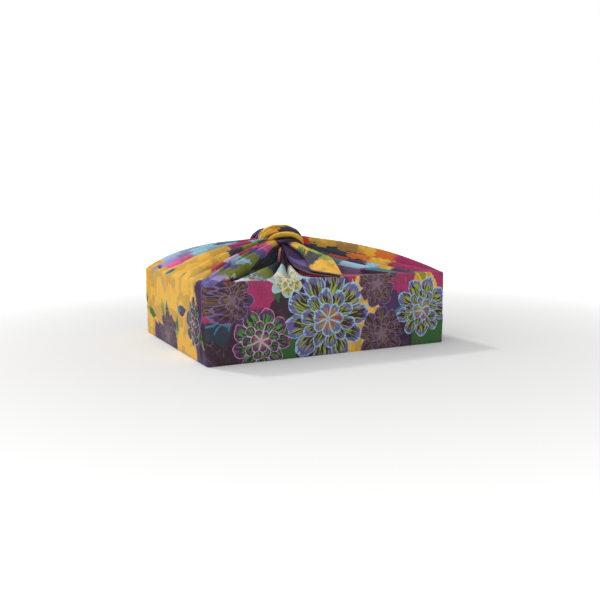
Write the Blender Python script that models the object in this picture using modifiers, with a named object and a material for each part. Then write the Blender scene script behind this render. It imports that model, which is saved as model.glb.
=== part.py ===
"""A furoshiki: one square of cloth drawn up from four sides round a flat box and tied in a knot on top.

Metres, +Z up. The origin is the middle of the flat base, the long front face looks along -Y.
The cloth is one solid with the box that it hides: walls, pleated fans, gathered flaps, knot and two ends.
"""

import math

import bmesh
import bpy
from mathutils import Vector
from mathutils.geometry import interpolate_bezier

MM = 0.001

# Driving dimensions of the wrapped box, over the cloth.
BOX_W = 350 * MM
BOX_D = 271 * MM
BOX_H = 100 * MM
CORNER_R = 4 * MM
BASE_R = 1.5 * MM
RIM_R = 2 * MM

# The knot stands a little left of the middle, on a neck of gathered cloth.
KNOT = Vector((-11, 0, 140)) * MM
NECK_R = 13 * MM
CLOTH = 2.0 * MM
END_STEPS = 4

HALF_W, HALF_D = BOX_W / 2, BOX_D / 2
ROUND_THE_RIM = 2 * (BOX_W + BOX_D)

# Heights of the rows down the wall, and shares of the way from the rim to a fold's gathered end.
WALL_ROWS = [0.03, 0.30, 0.62, 0.90]
TOP_ROWS = [0.0, 0.05, 0.12, 0.21, 0.32, 0.44, 0.57, 0.70, 0.82, 0.92, 1.0]

# How a fold sags or bulges on its way up: the power moves the fullest point towards the rim or the knot.
BULGE_POWER = 0.75
SAG_POWER = 1.15
ROLL_POWER = 0.8
VALLEY_SINK = 4.0 * MM

# Fold lines round the rim, counterclockwise from the middle of the back, in millimetres.
# along: place on the rim. x, y, z: where the line is gathered in. rise: bulge over a straight line.
# kind: a rounded crest or a sharp valley. wall: how far the fold stands in from the wall's face.
FOLDS = [
    # name, along, x, y, z, rise, kind, wall
    ("back_3", 25, -15, 28, 116, -2, "crest", 0.0),
    ("back_3_valley", 62, -19, 27, 109, -5, "valley", 0.4),
    ("back_4", 96, -23, 25, 115, -1, "crest", 0.0),
    ("back_4_valley", 126, -26, 21, 111, -4, "valley", 0.5),
    ("back_left_pocket_1", 140, -26, 15, 119, -10, "crest", 0.2),
    ("back_left_pocket_2", 143, -28, 11, 126, -10, "valley", 0.5),
    ("back_left_pocket_3", 146, -29, 14, 131, -7, "crest", 0.4),
    ("left_back_edge_under", 149, -31, 13, 136, -4, "valley", 0.8),
    ("left_back_edge", 160, -35, 16, 142, 3, "crest", 0.0),
    ("left_1_valley", 174, -39, 13, 138, 4, "valley", 0.6),
    ("left_1", 187, -42, 10, 145, 13, "crest", 0.0),
    ("left_2_valley", 206, -44, 8, 140, 8, "valley", 1.2),
    ("left_2", 222, -46, 6, 146, 12, "crest", 0.0),
    ("left_3_valley", 240, -47, 4, 140, 8, "valley", 0.9),
    ("left_3", 254, -47, 2, 145, 11, "crest", 0.1),
    ("left_4_valley", 268, -47, 0, 140, 7, "valley", 0.6),
    ("left_4", 302, -46, -3, 145, 10, "crest", 0.0),
    ("left_5_valley", 338, -45, -5, 139, 6, "valley", 0.5),
    ("left_5", 364, -43, -7, 144, 8, "crest", 0.0),
    ("left_6_valley", 391, -41, -9, 138, 3, "valley", 1.4),
    ("left_6", 409, -38, -11, 143, 5, "crest", 0.0),
    ("left_7_valley", 427, -35, -12, 137, 0, "valley", 1.8),
    ("left_front_edge", 445, -32, -14, 141, 2, "crest", 0.0),
    ("left_front_edge_under", 462, -29, -11, 134, -8, "valley", 0.8),
    ("front_left_pocket_1", 464, -28, -13, 130, -13, "crest", 0.5),
    ("front_left_pocket_2", 466, -27, -10, 124, -15, "valley", 0.8),
    ("front_left_pocket_3", 468, -26, -15, 118, -13, "crest", 0.4),
    ("front_1_valley", 473, -29, -21, 111, -4, "valley", 0.8),
    ("front_1", 487, -27, -25, 114, 1, "crest", 0.0),
    ("front_2_valley", 514, -27, -27, 108, -5, "valley", 0.6),
    ("front_2", 539, -25, -31, 117, -3, "crest", 0.0),
    ("front_3_valley", 560, -21, -31, 108, -6, "valley", 0.4),
    ("front_3", 578, -18, -32, 113, -5, "crest", 0.0),
    ("front_4_valley", 602, -13, -31, 108, -5, "valley", 0.3),
    ("front_flat_1", 646, -4, -28, 107, -4, "crest", 0.0),
    ("front_flat_2", 690, 5, -23, 108, -5, "crest", 0.0),
    ("right_front_edge_under", 713, 11, -15, 117, -8, "valley", 0.9),
    ("right_front_edge", 722, 15, -15, 129, -1, "crest", 0.0),
    ("right_1_valley", 736, 17, -13, 126, -4, "valley", 1.2),
    ("right_1", 751, 19, -11, 133, -2, "crest", 0.0),
    ("right_2_valley", 765, 21, -9, 129, -5, "valley", 1.0),
    ("right_2", 783, 22, -7, 137, 1, "crest", 0.0),
    ("right_3_valley", 796, 23, -4, 132, -4, "valley", 0.8),
    ("right_3", 808, 23, 0, 148, 9, "crest", 0.0),
    ("right_4_valley", 850, 25, 3, 142, 4, "valley", 0.9),
    ("right_4", 884, 26, 6, 147, 8, "crest", 0.0),
    ("right_5_valley", 925, 27, 8, 141, 4, "valley", 0.7),
    ("right_5", 966, 26, 10, 146, 8, "crest", 0.0),
    ("right_6_valley", 1004, 25, 12, 140, 3, "valley", 0.9),
    ("right_6", 1038, 23, 13, 144, 7, "crest", 0.0),
    ("right_7_valley", 1060, 21, 14, 138, 1, "valley", 0.8),
    ("right_back_edge", 1080, 18, 15, 141, 2, "crest", 0.0),
    ("right_back_edge_under", 1093, 13, 13, 135, -5, "valley", 0.8),
    ("back_right_pocket_1", 1096, 11, 14, 128, -8, "crest", 0.4),
    ("back_right_pocket_2", 1099, 9, 12, 121, -11, "valley", 0.6),
    ("back_1_valley", 1106, 8, 20, 112, -4, "valley", 0.6),
    ("back_1", 1124, 6, 24, 116, 0, "crest", 0.0),
    ("back_2_valley", 1150, 3, 26, 109, -5, "valley", 0.4),
    ("back_2", 1178, -2, 29, 118, -2, "crest", 0.0),
    ("back_5_valley", 1206, -6, 29, 109, -5, "valley", 0.3),
    ("back_5", 1227, -10, 30, 114, -3, "crest", 0.0),
]

# Strands of the knot: points of the middle line in millimetres, then half the height and half the width.
STRANDS = {
    "knot_loop": ([(-46, -3, 141), (-37, -6, 150), (-22, -7, 157), (-7, -6, 157), (7, -6, 150), (13, -7, 138)], 6.3, 11),
    "knot_front": ([(-27, -15, 145), (-15, -19, 150), (-2, -19, 150), (9, -16, 144), (14, -12, 134)], 4.2, 6.5),
    "knot_under": ([(-31, -12, 139), (-17, -17, 141), (-2, -18, 141), (12, -13, 134)], 4.0, 6),
    "knot_tuck": ([(-53, 2, 140), (-45, 4, 146), (-33, 9, 150), (-17, 15, 146), (-6, 17, 138)], 5.2, 8),
    "knot_back": ([(12, 8, 140), (5, 15, 149), (-9, 19, 152), (-25, 17, 146), (-34, 12, 137)], 5.5, 8),
}
STRAND_SIDES = 10
STRAND_STEPS = 4
STRAND_END = 0.55

KNOT_CORE = {"x": -17, "y": 1, "z": 143, "half_x": 35, "half_y": 18, "half_z": 12}

# The corner of cloth that hangs from the knot to the front rim, folded along its middle.
# y: place along it. fold, top and under: x and z of the fold, of the upper hem and of the lower hem.
FRONT_END = [
    # y, fold_x, fold_z, top_x, top_z, under_x, under_z, arch
    (-12, -3, 141, -12, 141, -18, 138, 0.5),
    (-26, 2, 138, -11, 135, -20, 129, 1.5),
    (-40, 8, 132, -7, 129.5, -21, 119, 3.0),
    (-54, 13, 128.5, -4, 121.5, -22, 112.5, 3.5),
    (-70, 17, 125, -9, 115, -22.5, 108.5, 3.0),
    (-86, 19, 121.5, -15, 109.5, -22, 105.8, 2.5),
    (-101, 17, 116, -18.5, 106, -21, 104.2, 2.0),
    (-116, 14, 109.5, -15, 104.6, -16, 103.2, 1.5),
    (-128, 10, 105, -6, 103.6, -6.5, 102.2, 0.8),
    (-136, 8, 102.4, 3, 101.8, 3, 100.8, 0.2),
]

# The same corner at the back: the front one turned round the knot and drawn in a little.
BACK_END_TURN = math.radians(172)
BACK_END_SHRINK = 0.94
BACK_END_MIDDLE = Vector((-12, -2, 0)) * MM
FOLD_GAP = 2.6 * MM
ARC_POINTS = 3


def rim_point(along, inset):
    """(x, y) on the rim, inset from the wall's face, and the way out of the wall there."""
    along %= ROUND_THE_RIM
    back_half = HALF_W
    left = back_half + BOX_D
    front = left + BOX_W
    right = front + BOX_D
    if along < back_half:
        x, y = -along, HALF_D
    elif along < left:
        x, y = -HALF_W, HALF_D - (along - back_half)
    elif along < front:
        x, y = -HALF_W + (along - left), -HALF_D
    elif along < right:
        x, y = HALF_W, -HALF_D + (along - front)
    else:
        x, y = HALF_W - (along - right), HALF_D
    inner_x = max(-HALF_W + CORNER_R, min(HALF_W - CORNER_R, x))
    inner_y = max(-HALF_D + CORNER_R, min(HALF_D - CORNER_R, y))
    out = Vector((x - inner_x, y - inner_y)).normalized()
    place = Vector((inner_x, inner_y)) + out * (CORNER_R - inset)
    return place, out


def columns():
    """(fold index, share of the way to the next fold) for each column of the body, with more round the corners."""
    found = []
    for i, fold in enumerate(FOLDS):
        start = fold[1] * MM
        end = FOLDS[(i + 1) % len(FOLDS)][1] * MM
        if end < start:
            end += ROUND_THE_RIM
        width = end - start
        shares = {0.0}
        if width > 5 * MM:
            shares.add(0.5)
        if width > 30 * MM:
            shares |= {0.25, 0.75}
        for corner in (HALF_W, HALF_W + BOX_D, 1.5 * BOX_W + BOX_D, 1.5 * BOX_W + 2 * BOX_D):
            for step in (-1, -0.4, 0.4, 1):
                share = (corner + step * CORNER_R - start) / width
                if 0.04 < share < 0.96 and min(abs(share - s) for s in shares) > 0.08:
                    shares.add(share)
        found += [(i, share) for share in sorted(shares)]
    return found


def crest_weight(share, kind, next_kind):
    """How much of the way up from the next line a point lies: round on a crest, sharp in a valley."""
    if kind == next_kind:
        return 1 - share
    if kind == "crest":
        return math.cos(share * math.pi / 2) ** ROLL_POWER
    return 1 - math.cos((1 - share) * math.pi / 2) ** ROLL_POWER


def fold_height(fold, s):
    """Height of a fold line at the share s of its way from the rim to where it is gathered."""
    end_z, rise = fold[4] * MM, fold[5] * MM
    if fold[6] == "valley":
        rise -= VALLEY_SINK
    power = BULGE_POWER if rise > 0 else SAG_POWER
    return BOX_H + (end_z - BOX_H) * s + rise * math.sin(math.pi * s**power)


def column_points(i, share):
    """The points of one column, from the base up the wall, over the rim and up to the knot."""
    fold, following = FOLDS[i], FOLDS[(i + 1) % len(FOLDS)]
    start, end = fold[1] * MM, following[1] * MM
    if end < start:
        end += ROUND_THE_RIM
    weight = crest_weight(share, fold[6], following[6])
    along = start + (end - start) * share
    wall = (fold[7] * weight + following[7] * (1 - weight)) * MM
    base, _ = rim_point(along, BASE_R)
    face, _ = rim_point(along, wall)
    rim, _ = rim_point(along, RIM_R)
    gathered = Vector(fold[2:4]).lerp(Vector(following[2:4]), share) * MM
    points = [Vector((*base, 0))]
    points += [Vector((*face, BOX_H * z)) for z in WALL_ROWS]
    for s in TOP_ROWS:
        z = fold_height(fold, s) * weight + fold_height(following, s) * (1 - weight)
        points.append(Vector((*rim.lerp(gathered, s), z)))
    outward = Vector((gathered.x - KNOT.x, gathered.y - KNOT.y)).normalized()
    neck = Vector((KNOT.x, KNOT.y)) + outward * NECK_R
    neck_z = max(points[-1].z, KNOT.z - 8 * MM)
    points.append(Vector((*neck, neck_z)))
    return points


def loft(name, rings, low, high):
    """A closed mesh through rings of points, ended by one point below and one above."""
    bm = bmesh.new()
    rows = [[bm.verts.new(p) for p in ring] for ring in rings]
    for lower, upper in zip(rows, rows[1:]):
        for i in range(len(lower)):
            j = (i + 1) % len(lower)
            bm.faces.new((lower[i], lower[j], upper[j], upper[i]))
    for ring, tip, turned in ((rows[0], low, True), (rows[-1], high, False)):
        end = bm.verts.new(tip)
        for i in range(len(ring)):
            j = (i + 1) % len(ring)
            bm.faces.new((ring[j], ring[i], end) if turned else (ring[i], ring[j], end))
    bmesh.ops.recalc_face_normals(bm, faces=bm.faces)
    mesh = bpy.data.meshes.new(name)
    bm.to_mesh(mesh)
    bm.free()
    mesh.shade_smooth()
    return bpy.data.objects.new(name, mesh)


def make_body():
    """Walls, fans and flaps: one loft whose rings run round the box and narrow to the knot."""
    lines = [column_points(i, share) for i, share in columns()]
    rings = [[line[row] for line in lines] for row in range(len(lines[0]))]
    return loft("wrap", rings, Vector((0, 0, 0)), KNOT + Vector((0, 0, 4 * MM)))


def smooth_path(points, steps):
    """Points of a smooth curve through the given ones."""
    points = [Vector(p) * MM for p in points]
    ahead = [points[0] * 2 - points[1], *points, points[-1] * 2 - points[-2]]
    path = [points[0]]
    for before, a, b, after in zip(ahead, ahead[1:], ahead[2:], ahead[3:]):
        path += interpolate_bezier(a, a + (b - before) / 6, b - (after - a) / 6, b, steps + 1)[1:]
    return path


def make_strand(name, points, half_height, half_width):
    """A flattened, round-edged band of cloth along a curve, drawn in at its ends."""
    path = smooth_path(points, STRAND_STEPS)
    rings = []
    for i, place in enumerate(path):
        ahead = (path[min(i + 1, len(path) - 1)] - path[max(i - 1, 0)]).normalized()
        across = Vector((0, 0, 1)).cross(ahead).cross(ahead).cross(ahead).normalized()
        upward = ahead.cross(across).normalized()
        full = math.sin(math.pi * (i + 0.5) / len(path)) ** 0.5
        full = STRAND_END + (1 - STRAND_END) * full
        ring = []
        for side in range(STRAND_SIDES):
            turn = 2 * math.pi * side / STRAND_SIDES
            height = half_height * MM * full * math.sin(turn)
            width = half_width * MM * full * math.cos(turn)
            ring.append(place + upward * height + across * width)
        rings.append(ring)
    return loft(name, rings, path[0], path[-1])


def make_core():
    """The hidden middle of the knot, which the strands wrap."""
    bm = bmesh.new()
    bmesh.ops.create_uvsphere(bm, u_segments=20, v_segments=10, radius=1)
    mesh = bpy.data.meshes.new("knot_core")
    half = [KNOT_CORE[key] * MM for key in ("half_x", "half_y", "half_z")]
    middle = [KNOT_CORE[key] * MM for key in ("x", "y", "z")]
    for vert in bm.verts:
        vert.co = Vector(m + h * c for m, h, c in zip(middle, half, vert.co))
    bm.to_mesh(mesh)
    bm.free()
    return bpy.data.objects.new("knot_core", mesh)


def end_section(row):
    """The folded corner's section at one row: upper hem, arched upper layer, fold, lower layer, lower hem."""
    y, fold_x, fold_z, top_x, top_z, under_x, under_z, arch = row
    fold, top, under = Vector((fold_x, fold_z)), Vector((top_x, top_z)), Vector((under_x, under_z))
    gap = FOLD_GAP / MM
    below = fold - Vector((gap * 0.3, gap))
    section = []
    for step in range(END_STEPS):
        share = step / END_STEPS
        section.append(top.lerp(fold, share) + Vector((0, arch * math.sin(math.pi * share))))
    middle = (fold + below) / 2
    for step in range(ARC_POINTS):
        turn = math.pi * (step / (ARC_POINTS - 1) - 0.5)
        section.append(middle + Vector((math.cos(turn) * gap / 2, -math.sin(turn) * gap / 2)))
    for step in range(1, END_STEPS + 1):
        share = step / END_STEPS
        sag = min(arch, 2.0) * math.sin(math.pi * share)
        section.append(below.lerp(under - Vector((0, gap * 0.3)), share) - Vector((0, sag)))
    return [Vector((x, y, z)) * MM for x, z in section]


def make_end(name, place):
    """A corner of cloth as a thin sheet, folded along its middle. place moves its points."""
    rows = [[place(p) for p in end_section(row)] for row in FRONT_END]
    bm = bmesh.new()
    verts = [[bm.verts.new(p) for p in row] for row in rows]
    for row, following in zip(verts, verts[1:]):
        for i in range(len(row) - 1):
            bm.faces.new((row[i], row[i + 1], following[i + 1], following[i]))
    bmesh.ops.recalc_face_normals(bm, faces=bm.faces)
    mesh = bpy.data.meshes.new(name)
    bm.to_mesh(mesh)
    bm.free()
    sheet = bpy.data.objects.new(name, mesh)
    solidify = sheet.modifiers.new("thickness", "SOLIDIFY")
    solidify.thickness = CLOTH
    solidify.offset = 0
    return sheet


def turned_to_back(point):
    """A point of the front end, turned round the knot to the back."""
    from_middle = (point - BACK_END_MIDDLE) * BACK_END_SHRINK
    c, s = math.cos(BACK_END_TURN), math.sin(BACK_END_TURN)
    x, y = from_middle.x * c - from_middle.y * s, from_middle.x * s + from_middle.y * c
    return Vector((BACK_END_MIDDLE.x + x, BACK_END_MIDDLE.y + y, point.z))


def cloth_material():
    """Printed cotton, mustard as its ground."""
    material = bpy.data.materials.new("printed_cotton")
    material.use_nodes = True
    shader = material.node_tree.nodes["Principled BSDF"]
    shader.inputs["Base Color"].default_value = (0.72, 0.42, 0.06, 1)
    shader.inputs["Roughness"].default_value = 0.8
    shader.inputs["Metallic"].default_value = 0.0
    return material


def clear_scene():
    for obj in list(bpy.data.objects):
        bpy.data.objects.remove(obj)


def main():
    clear_scene()
    wrap_parts = bpy.data.collections.new("furoshiki_wrap")
    joined_parts = bpy.data.collections.new("joined_to_the_wrap")
    for collection in (wrap_parts, joined_parts):
        bpy.context.scene.collection.children.link(collection)
    wrap = make_body()
    wrap.data.materials.append(cloth_material())
    wrap_parts.objects.link(wrap)
    helpers = [make_strand(name, *row) for name, row in STRANDS.items()]
    helpers += [make_core(), make_end("front_end", lambda p: p), make_end("back_end", turned_to_back)]
    for helper in helpers:
        joined_parts.objects.link(helper)
        helper.hide_render = True
        helper.display_type = "WIRE"
    union = wrap.modifiers.new("knot_and_ends", "BOOLEAN")
    union.operation = "UNION"
    union.solver = "EXACT"
    union.operand_type = "COLLECTION"
    union.collection = joined_parts


main()
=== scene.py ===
"""The looks of a furoshiki wrap: printed cotton round a flat box, pleated up into a knot."""

import math
from collections import namedtuple

import bmesh
import bpy
import numpy as np
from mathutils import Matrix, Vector, noise
from mathutils.geometry import interpolate_bezier


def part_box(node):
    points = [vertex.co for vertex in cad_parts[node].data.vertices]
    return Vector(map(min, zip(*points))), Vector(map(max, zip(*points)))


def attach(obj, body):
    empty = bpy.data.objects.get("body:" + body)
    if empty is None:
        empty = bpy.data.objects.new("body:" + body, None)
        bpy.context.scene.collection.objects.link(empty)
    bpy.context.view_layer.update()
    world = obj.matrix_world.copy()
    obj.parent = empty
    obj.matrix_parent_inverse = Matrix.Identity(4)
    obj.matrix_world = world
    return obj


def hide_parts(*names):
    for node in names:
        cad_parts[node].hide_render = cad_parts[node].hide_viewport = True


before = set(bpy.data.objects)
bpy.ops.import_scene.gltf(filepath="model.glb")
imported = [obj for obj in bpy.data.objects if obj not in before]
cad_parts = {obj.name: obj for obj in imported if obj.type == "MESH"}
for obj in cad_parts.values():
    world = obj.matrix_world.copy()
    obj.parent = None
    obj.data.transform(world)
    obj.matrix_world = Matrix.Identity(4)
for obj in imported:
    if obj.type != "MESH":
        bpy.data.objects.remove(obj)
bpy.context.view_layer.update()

MM = 0.001

# The wrapped box: its long side and its depth from the frame, and the height of its rim.
LOW, HIGH = (Vector(corner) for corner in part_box("wrap"))
BOX_W = HIGH.x - LOW.x
BOX_D = 2 * HIGH.y
BOX_H = 100 * MM
HALF_W, HALF_D = BOX_W / 2, BOX_D / 2
ROUND_THE_RIM = 2 * (BOX_W + BOX_D)
CORNER_R = 4 * MM
BASE_R = 1.5 * MM
RIM_R = 2 * MM
KNOT = Vector((-11, 0, 140)) * MM
NECK_R = 13 * MM

# The photograph's view, worked out from the corners of the wrapped box.
CAMERA_AT = (-0.4362, -0.8815, 0.1826)
CAMERA_PITCH = math.radians(7.41)
CAMERA_TURN = math.radians(27.25)
CAMERA_LENS = 40.73

# How finely the cloth is divided: spacing of columns at the rim, and numbers of rows. The rows over the
# box stand closer at the rim and at the knot.
COLUMN_STEP = 2.2 * MM
FEWEST_COLUMNS = 4
WALL_ROWS = 28
TOP_ROWS = 62
NECK_ROWS = 6
ROWS_CLOSER = 0.12

# Powers that shape a bulging and a sagging fold line, a rolled edge and a line's way in from the wall's face.
BULGE_POWER = 0.75
SAG_POWER = 1.15
ROLL_POWER = 0.8
INSET_POWER = 1.5
VALLEY_SINK = 7.5 * MM

# The wall's lowest stretch, where creases begin, the share of a fold line's way by which it has left the
# wall, and how far under the knot's middle the cloth is drawn in at least.
FLAT_FOOT = 12 * MM
OFF_WALL_BY = 0.07
NECK_BELOW_KNOT = 8 * MM
COVER_ABOVE_KNOT = 4 * MM

# Fold lines round the rim, counterclockwise from the middle of the back, in millimetres, as in the frame.
# along: place on the rim. x, y, z: where the line is gathered in. rise: bulge over a straight line.
# kind: crest, valley, or lip, the outermost line of a rolled edge.
# wall: how far the line stands in from the wall's face.
Fold = namedtuple("Fold", "name along x y z rise kind wall")
FOLD_TABLE = [
    # name, along, x, y, z, rise, kind, wall
    ("back_3", 25, -15, 28, 116, -2, "crest", 0.0),
    ("back_3_valley", 62, -19, 27, 109, -5, "valley", 0.4),
    ("back_4", 96, -23, 25, 115, -1, "crest", 0.0),
    ("back_4_valley", 126, -26, 21, 111, -4, "valley", 0.5),
    ("back_left_pocket_1", 140, -26, 15, 119, -10, "crest", 0.2),
    ("back_left_pocket_2", 143, -28, 11, 126, -10, "valley", 0.5),
    ("back_left_pocket_3", 146, -29, 12, 131, -7, "crest", 0.4),
    ("left_back_edge_under", 149, -31, 10, 136, -4, "valley", 0.8),
    ("left_back_edge_lip", 148, -31, 18, 139, 0, "lip", 0.6),
    ("left_back_edge", 160, -35, 16, 142, 3, "crest", 0.0),
    ("left_1_valley", 170, -38, 14, 138, 4, "valley", 0.6),
    ("left_1", 187, -42, 10, 145, 13, "crest", 0.0),
    ("left_2_valley", 198, -43, 9, 140, 8, "valley", 1.2),
    ("left_2", 222, -46, 6, 146, 12, "crest", 0.0),
    ("left_3_valley", 231, -46, 5, 140, 8, "valley", 0.9),
    ("left_3", 254, -47, 2, 145, 11, "crest", 0.1),
    ("left_4_valley", 263, -47, 1, 140, 7, "valley", 0.6),
    ("left_4", 302, -46, -3, 145, 10, "crest", 0.0),
    ("left_5_valley", 326, -46, -4, 139, 6, "valley", 0.5),
    ("left_5", 364, -43, -7, 144, 8, "crest", 0.0),
    ("left_6_valley", 380, -42, -8, 138, 3, "valley", 1.4),
    ("left_6", 409, -38, -11, 143, 5, "crest", 0.0),
    ("left_7_valley", 420, -37, -11, 137, -1, "valley", 1.8),
    ("left_7", 429, -35.5, -12, 143, 4, "crest", 0.0),
    ("left_8_valley", 437, -34.5, -12.5, 138, 1, "valley", 0.8),
    ("left_front_edge", 448, -32, -14, 142, 3, "crest", 0.0),
    ("left_front_edge_lip", 463, -29, -16, 137, -2, "lip", 0.6),
    ("left_front_edge_under", 460, -30, -8, 133, -6, "valley", 0.8),
    ("front_left_pocket_1", 464, -28, -12, 130, -13, "crest", 0.5),
    ("front_left_pocket_2", 463, -28, -8, 126, -16, "valley", 0.8),
    ("front_left_pocket_3", 467, -26, -13, 121, -13, "crest", 0.4),
    ("front_left_pocket_4", 467, -27, -11, 115, -10, "valley", 0.4),
    ("front_1_valley", 473, -29, -21, 111, -4, "valley", 0.8),
    ("front_1", 487, -27, -25, 114, 1, "crest", 0.0),
    ("front_2_valley", 514, -27, -27, 108, -5, "valley", 0.6),
    ("front_2", 539, -25, -31, 117, -3, "crest", 0.0),
    ("front_3_valley", 560, -21, -31, 108, -6, "valley", 0.4),
    ("front_3", 578, -18, -32, 113, -5, "crest", 0.0),
    ("front_4_valley", 602, -13, -31, 108, -5, "valley", 0.3),
    ("front_flat_1", 646, -4, -28, 107, -4, "crest", 0.0),
    ("front_flat_2", 690, 5, -23, 108, -5, "crest", 0.0),
    ("right_front_edge_under", 711, 11, -12, 116, -8, "valley", 0.9),
    ("right_front_edge_lip", 714, 13, -17, 124, -5, "lip", 0.7),
    ("right_front_edge", 722, 15, -15, 129, -1, "crest", 0.0),
    ("right_1_valley", 742, 18, -12, 126, -5, "valley", 1.2),
    ("right_1", 751, 19, -11, 133, -2, "crest", 0.0),
    ("right_2_valley", 772, 21, -8, 129, -6, "valley", 1.0),
    ("right_2", 783, 22, -7, 137, 1, "crest", 0.0),
    ("right_3_valley", 800, 23, -3, 132, -5, "valley", 0.8),
    ("right_3", 808, 23, 0, 148, 9, "crest", 0.0),
    ("right_4_valley", 838, 24, 2, 142, 4, "valley", 0.9),
    ("right_4", 884, 26, 6, 147, 8, "crest", 0.0),
    ("right_5_valley", 912, 27, 7, 141, 4, "valley", 0.7),
    ("right_5", 966, 26, 10, 146, 8, "crest", 0.0),
    ("right_6_valley", 990, 26, 11, 140, 3, "valley", 0.9),
    ("right_6", 1038, 23, 13, 144, 7, "crest", 0.0),
    ("right_7_valley", 1060, 21, 14, 138, 1, "valley", 0.8),
    ("right_back_edge", 1080, 18, 15, 141, 2, "crest", 0.0),
    ("right_back_edge_lip", 1095, 14, 18, 137, -1, "lip", 0.5),
    ("right_back_edge_under", 1093, 13, 10, 133, -5, "valley", 0.8),
    ("back_right_pocket_1", 1096, 11, 13, 128, -8, "crest", 0.4),
    ("back_right_pocket_2", 1099, 9, 10, 121, -11, "valley", 0.6),
    ("back_1_valley", 1106, 8, 20, 112, -4, "valley", 0.6),
    ("back_1", 1124, 6, 24, 116, 0, "crest", 0.0),
    ("back_2_valley", 1150, 3, 26, 109, -5, "valley", 0.4),
    ("back_2", 1178, -2, 29, 118, -2, "crest", 0.0),
    ("back_5_valley", 1206, -6, 29, 109, -5, "valley", 0.3),
    ("back_5", 1227, -10, 30, 114, -3, "crest", 0.0),
]
FOLDS = [Fold(*row) for row in FOLD_TABLE]

LEAST_APART = 0.5

# Creases in the walls, in millimetres: from (along, z) to (along, z), how wide and how far out.
# A lapped crease is steep on its far side and hides some cloth, as where a wall is folded over itself.
WALL_CREASES = [
    # along, z, along, z, width, out, lapped
    (412, 99, 408, 2, 9, 4.2, True),
    (426, 99, 427, 0, 8, 4.4, True),
    (438, 99, 438, 6, 7, 3.6, True),
    (396, 100, 386, 30, 11, 2.0, False),
    (362, 99, 372, 20, 13, 1.0, False),
    (190, 98, 196, 30, 10, 4.0, True),
    (206, 99, 214, 50, 9, 2.2, False),
    (238, 99, 243, 40, 12, 1.1, False),
    (286, 99, 296, 46, 14, 1.1, False),
    (330, 98, 340, 24, 12, 0.9, False),
    (708, 101, 782, 6, 12, 3.6, False),
    (722, 99, 768, 30, 10, 2.6, False),
    (738, 98, 792, 34, 10, 3.0, False),
    (690, 100, 748, 0, 14, 1.3, False),
    (556, 99, 572, 60, 12, 1.6, False),
    (500, 99, 520, 62, 11, 1.5, False),
    (476, 96, 472, 8, 8, 1.8, False),
    (812, 98, 806, 10, 9, 2.2, True),
    (836, 99, 820, 22, 11, 1.7, False),
    (905, 98, 900, 50, 14, 1.1, False),
    (960, 98, 968, 40, 14, 1.0, False),
    (1040, 98, 1058, 8, 10, 2.2, True),
    (1020, 99, 1040, 34, 11, 1.5, False),
    (1096, 98, 1080, 10, 10, 2.2, True),
    (1130, 98, 1096, 20, 12, 1.6, False),
    (1190, 99, 1170, 46, 14, 1.0, False),
    (140, 98, 168, 10, 10, 2.2, True),
    (110, 99, 150, 26, 12, 1.5, False),
    (30, 99, 20, 60, 14, 1.0, False),
]
LAP_HIDES = 12 * MM
LAP_REACH = 5

# Along a crease, from 0 to 1, it fades in and out and sways. Across it, in widths, a lapped crease is a slope
# up and a steeper one down, and a soft crease is a ridge with a shallow dip at each side.
CREASE_STARTS, CREASE_FADES_IN = 0.1, 0.12
CREASE_STOPS, CREASE_FADES_OUT = 1.15, 0.5
CREASE_SWAY, CREASE_SWAYS = 1.6, 5
LAP_RISE, LAP_FALL = 0.8, 4
RIDGE_SHARPNESS = 3
DIP, DIP_AT, DIP_SHARPNESS = 0.3, 1.1, 9

# Shallow ripples that run along the folds, coarse and fine, and the slight unevenness of pressed cotton.
RIPPLE = 0.8 * MM
RIPPLE_ACROSS = 7 * MM
RIPPLE_CHANGES = 2.6
RIPPLE_FADES = 0.5
FINE_RIPPLE = 0.5
FINE_RIPPLE_ACROSS = 2.1
FINE_RIPPLE_CHANGES = 4.3
UNEVEN = 0.6 * MM
UNEVEN_ACROSS = 17 * MM
UNEVEN_UP = 55 * MM

# Each unevenness is cut from the noise at a height of its own.
WALL_NOISE, RIPPLE_NOISE, FINE_NOISE, TOP_NOISE = 3.1, 7.7, 1.7, 9.0


def noise_at(x, y, z):
    return noise.noise(Vector((x, y, z)))


def eased(x):
    """0 below 0, 1 above 1, with a smooth step between."""
    x = min(1, max(0, x))
    return x * x * (3 - 2 * x)


def rim_point(along, inset):
    """(x, y) on the rim, inset from the wall's face, and the way out of the wall there."""
    along %= ROUND_THE_RIM
    left = HALF_W + BOX_D
    front = left + BOX_W
    right = front + BOX_D
    if along < HALF_W:
        x, y = -along, HALF_D
    elif along < left:
        x, y = -HALF_W, HALF_D - (along - HALF_W)
    elif along < front:
        x, y = -HALF_W + (along - left), -HALF_D
    elif along < right:
        x, y = HALF_W, -HALF_D + (along - front)
    else:
        x, y = HALF_W - (along - right), HALF_D
    inner_x = max(-HALF_W + CORNER_R, min(HALF_W - CORNER_R, x))
    inner_y = max(-HALF_D + CORNER_R, min(HALF_D - CORNER_R, y))
    out = Vector((x - inner_x, y - inner_y)).normalized()
    return Vector((inner_x, inner_y)) + out * (CORNER_R - inset), out


def crest_weight(share, kind, next_kind):
    """The first line's share in the height of a point between two: round on a crest, sharp in a valley."""
    if kind == next_kind:
        return 1 - share
    if kind == "crest" or next_kind == "lip":
        return math.cos(share * math.pi / 2) ** ROLL_POWER
    return 1 - math.cos((1 - share) * math.pi / 2) ** ROLL_POWER


def fold_height(fold, s):
    """Height of a fold line at the share s of its way from the rim to where it is gathered."""
    end_z, rise = fold.z * MM, fold.rise * MM
    if fold.kind == "valley":
        rise -= VALLEY_SINK
    power = BULGE_POWER if rise > 0 else SAG_POWER
    return BOX_H + (end_z - BOX_H) * s + rise * math.sin(math.pi * s**power)


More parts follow.
